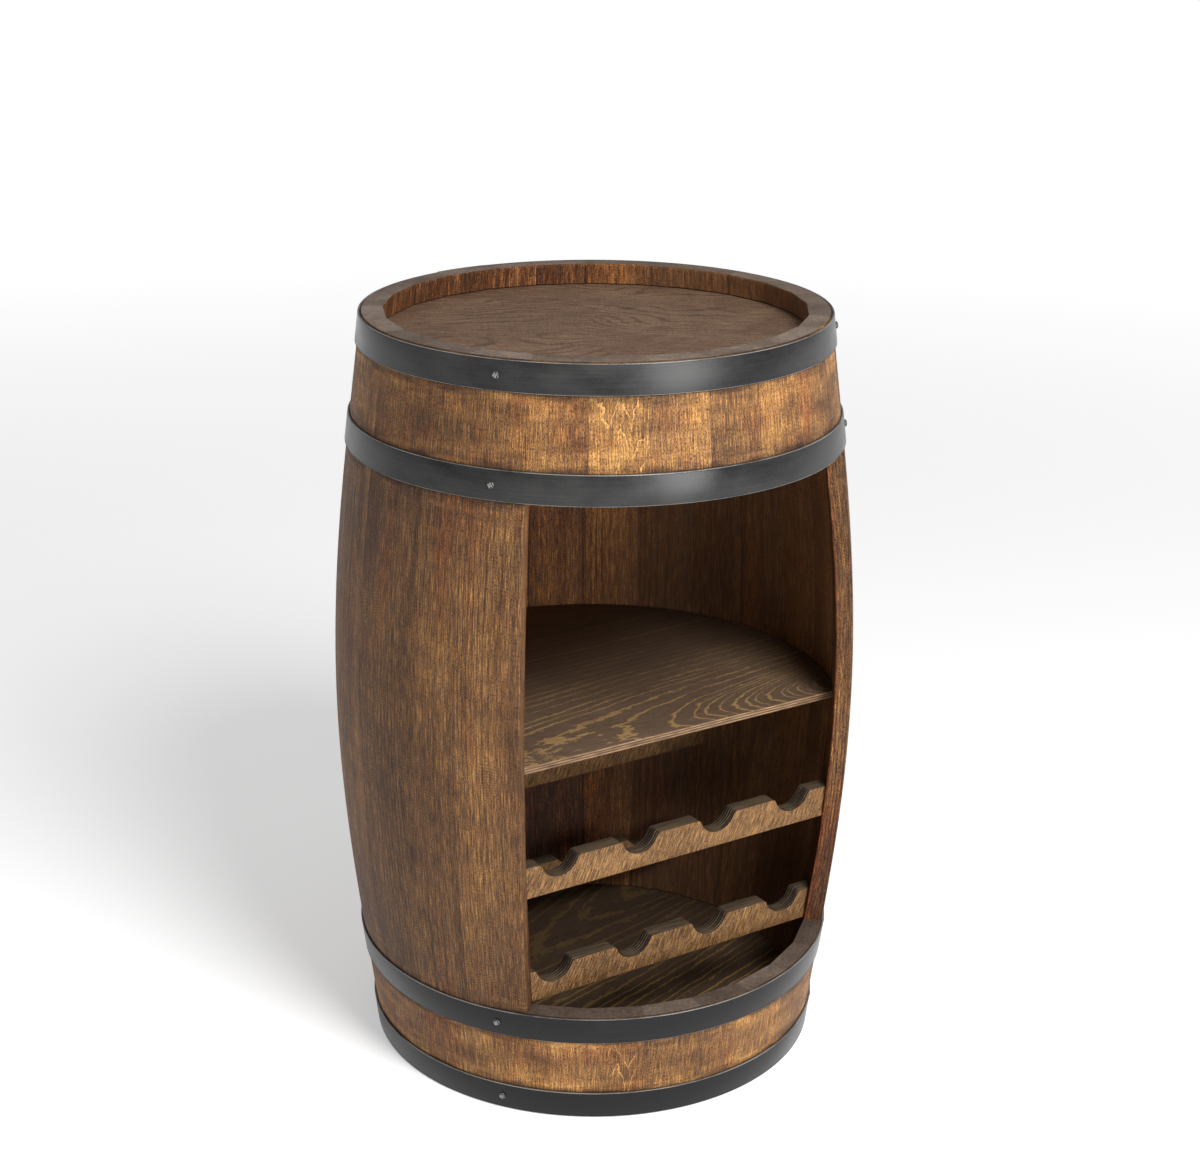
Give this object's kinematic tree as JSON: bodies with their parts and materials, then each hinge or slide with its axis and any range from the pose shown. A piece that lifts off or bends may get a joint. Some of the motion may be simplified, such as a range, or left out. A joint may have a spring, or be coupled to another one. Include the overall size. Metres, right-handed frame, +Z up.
{
  "type": "barrel bar cabinet",
  "caption": "Open-front barrel cabinet: bowed wooden staves held by steel hoops, a sunken tray top, an inner shelf and notched rails that hold bottles lying down.",
  "frame": {"origin": "on the floor, under the middle of the bounding box; the barrel's axis stands at x = 0, y = -0.0087 m", "axes": "+Z up along the barrel's axis, -Y out through the middle of the opening, +X to the right of someone who faces +Y"},
  "size_m": [0.559, 0.5424, 0.81],
  "materials": {
    "stave_wood": "stained mid brown, satin",
    "board_wood": "dark stained plywood with lighter grain, satin",
    "rail_wood": "light brown stained plywood, satin",
    "hoop_steel": "charcoal, satin",
    "screw_steel": "black, satin"
  },
  "bodies": {
    "root": {"stave_01": "stave_wood", "stave_02": "stave_wood", "stave_03": "stave_wood", "stave_04": "stave_wood", "stave_05": "stave_wood", "stave_06": "stave_wood", "stave_07": "stave_wood", "stave_08": "stave_wood", "stave_09": "stave_wood", "stave_10": "stave_wood", "stave_11": "stave_wood", "stave_12": "stave_wood", "stave_13": "stave_wood", "stave_14": "stave_wood", "stave_15": "stave_wood", "stave_16": "stave_wood", "stave_17": "stave_wood", "stave_18": "stave_wood", "lower_stave_1": "stave_wood", "upper_stave_1": "stave_wood", "lower_stave_2": "stave_wood", "upper_stave_2": "stave_wood", "lower_stave_3": "stave_wood", "upper_stave_3": "stave_wood", "lower_stave_4": "stave_wood", "upper_stave_4": "stave_wood", "lower_stave_5": "stave_wood", "upper_stave_5": "stave_wood", "lower_stave_6": "stave_wood", "upper_stave_6": "stave_wood", "lower_stave_7": "stave_wood", "upper_stave_7": "stave_wood", "hoop_top": "hoop_steel", "screw_top_right": "screw_steel", "screw_top_back": "screw_steel", "screw_top_left": "screw_steel", "hoop_upper": "hoop_steel", "screw_upper_right": "screw_steel", "screw_upper_back": "screw_steel", "screw_upper_left": "screw_steel", "hoop_lower": "hoop_steel", "screw_lower_right": "screw_steel", "screw_lower_back": "screw_steel", "screw_lower_left": "screw_steel", "hoop_bottom": "hoop_steel", "screw_bottom_right": "screw_steel", "screw_bottom_back": "screw_steel", "screw_bottom_left": "screw_steel", "top_board": "board_wood", "floor_board": "board_wood", "shelf": "board_wood", "shelf_block_1": "stave_wood", "shelf_block_2": "stave_wood", "shelf_block_3": "stave_wood", "shelf_block_4": "stave_wood", "upper_front_rail": "rail_wood", "upper_rear_rail": "rail_wood", "lower_front_rail": "rail_wood", "lower_rear_rail": "rail_wood"}
  },
  "joints": []
}
